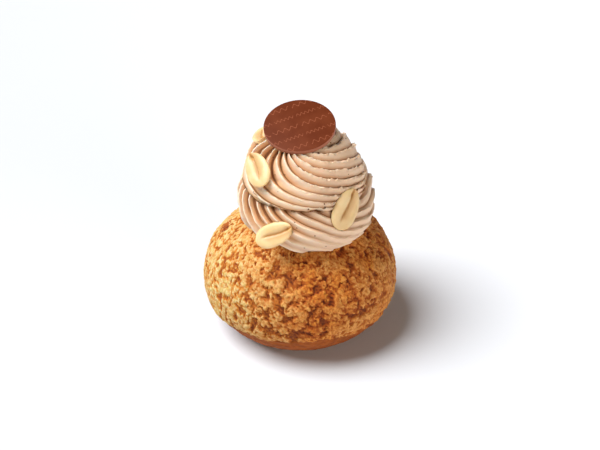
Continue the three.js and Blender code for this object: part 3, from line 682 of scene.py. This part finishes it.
upper_points, upper_painted_light = upper_turn()
lower_points, lower_painted_light = lower_turn()
upper_points = under_peanuts(under_disc(upper_points))
lower_points = under_peanuts(lower_points)
middle = AXIS_FOOT[:2]
under = []
for share in (0.75, 0.5, 0.25):
    flat = middle + (lower_points[-1, :, :2] - middle) * share
    under.append(np.column_stack([flat, crown_height(np.hypot(*flat.T)) + CREAM_GAP]))
groove_row = [np.zeros(len(lower_points[0]))] * len(under)
straight_up = np.zeros(1)
tip_height = meet(UPPER, straight_up, straight_up)[0] - GROOVE_DEPTH
tip = under_disc(swirl_point(straight_up, straight_up, tip_height))[0]
LOWER_END, UPPER_END = 58, 54  # the heights where each turn closes inside the other
cream_foot = [*middle, crown_height(np.hypot(*middle)) + CREAM_GAP]
cream = closed_mesh("piped_swirl", [*middle, LOWER_END], [*lower_points, *under], cream_foot,
                    {"pale": [*lower_painted_light, *groove_row]})
upper = closed_mesh("upper turn", tip, upper_points, [*middle, UPPER_END], {"pale": upper_painted_light})
join = cream.modifiers.new("one rope", "BOOLEAN")
join.operation = "UNION"
join.solver = "MANIFOLD"
join.object = upper
bpy.context.view_layer.objects.active = cream
bpy.ops.object.modifier_apply(modifier=join.name)
bpy.data.objects.remove(upper)

# Whipped cream with ground peanut: soft satin, and light scatters inside it. The crests are painted paler as
# highlight, most on the left, and the grooves and the backs of the ridges painted warm brown as shade.
# Specks of nut skin are scattered through it.
SPECK_SPACING = 3.7  # from one speck to the next
whipped = blank_material("whipped peanut cream")
painted_light_here = add(whipped, "Attribute", attribute_name="pale").outputs["Fac"]
cream_place = add(whipped, "TexCoord").outputs["Object"]
body = mix(whipped, spread(whipped, speckle(whipped, 9, 2.0), 0.35, 0.65), "e4c6a8", "ecd0b4")
across_cream = add(whipped, "SeparateXYZ", {0: cream_place}).outputs[0]
on_right = spread(whipped, across_cream, -8 * MM, 14 * MM)  # away from the light
# painted shade: tan on the flanks of the ridges, by how pale each point is painted
creamy = mix(whipped, spread(whipped, painted_light_here, 0, 0.7), mix(whipped, on_right, "d49f6d", "c39a7a"), body)
# painted highlight: the crests paler on the left, towards the light
crest = mix(whipped, on_right, "fbe9d0", body)
creamy = mix(whipped, spread(whipped, painted_light_here, 0.55, 0.95), creamy, crest)
# painted shade: deep brown in the grooves, darkest on the left
groove = mix(whipped, on_right, "66300f", "94623c")
creamy = mix(whipped, spread(whipped, painted_light_here, -0.05, 0.16), groove, creamy)
skin_spots = add(whipped, "TexVoronoi", {"Vector": cream_place, "Scale": 1 / (SPECK_SPACING * MM)})
near_spot = spread(whipped, skin_spots.outputs["Distance"], 0.1, 0.065)
creamy = mix(whipped, near_spot, creamy, "7c5238")
finish_material(whipped, creamy, speckle(whipped, 0.9, 3.0, 0.6), 0.1,
                {"Roughness": 0.6, "Specular IOR Level": 0.18, "Subsurface Weight": 0.35,
                 "Subsurface Radius": (1.0, 0.65, 0.4), "Subsurface Scale": 1.0 * MM})
cream.data.materials.clear()
cream.data.materials.append(whipped)
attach(cream, "root")
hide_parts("cream")


# ---- the studio ----------------------------------------------------------------------------------
# A white table under one large soft light from high on the left, with a faint warm light from low at the
# front right, and a little light from all round.

bpy.ops.object.select_all(action="DESELECT")
bpy.ops.mesh.primitive_plane_add(size=4000 * MM)
table = bpy.context.active_object
table.name = "table"
white = blank_material("white table")
shader = add(white, "BsdfDiffuse", {"Color": linear("e4e7ec"), "Roughness": 0.5})
add(white, "OutputMaterial", {"Surface": shader.outputs[0]})
table.data.materials.append(white)

bpy.ops.object.light_add(type="SUN")
key = bpy.context.active_object
key.name = "key light"
key.data.energy = 4.8
key.data.angle = math.radians(44)  # wide, so that its shadows are soft
KEY_SHINES = Vector((0.55, 0.0, -0.835))  # from the left and above
key.rotation_euler = KEY_SHINES.to_track_quat("-Z", "Y").to_euler()

FILL_PLACE, FILL_AIM = Vector((620, -750, 240)), Vector((0, 0, 30))
bpy.ops.object.light_add(type="AREA", location=FILL_PLACE * MM)
fill = bpy.context.active_object
fill.name = "fill light"
fill.data.size = 600 * MM
fill.data.energy = 4.2
fill.data.color = (1.0, 0.85, 0.7)
fill.rotation_euler = ((FILL_AIM - FILL_PLACE) * MM).to_track_quat("-Z", "Y").to_euler()

scene = bpy.context.scene
scene.world = bpy.data.worlds.new("studio")
scene.world.use_nodes = True
around_it = scene.world.node_tree.nodes["Background"]
around_it.inputs["Color"].default_value = (1, 1, 1, 1)
around_it.inputs["Strength"].default_value = 0.055
scene.view_settings.view_transform = "Standard"
scene.view_settings.look = "None"

CAMERA_AIM = Vector((0, 0, 39.9 * MM))
CAMERA_RISE, CAMERA_DISTANCE = math.radians(35), 609 * MM
towards_camera = Vector((0, -math.cos(CAMERA_RISE), math.sin(CAMERA_RISE)))
bpy.ops.object.camera_add(location=CAMERA_AIM + CAMERA_DISTANCE * towards_camera)
camera = bpy.context.active_object
camera.rotation_euler = (math.pi / 2 - CAMERA_RISE, 0, 0)
camera.data.lens = 100
camera.data.sensor_width = 36
scene.camera = camera
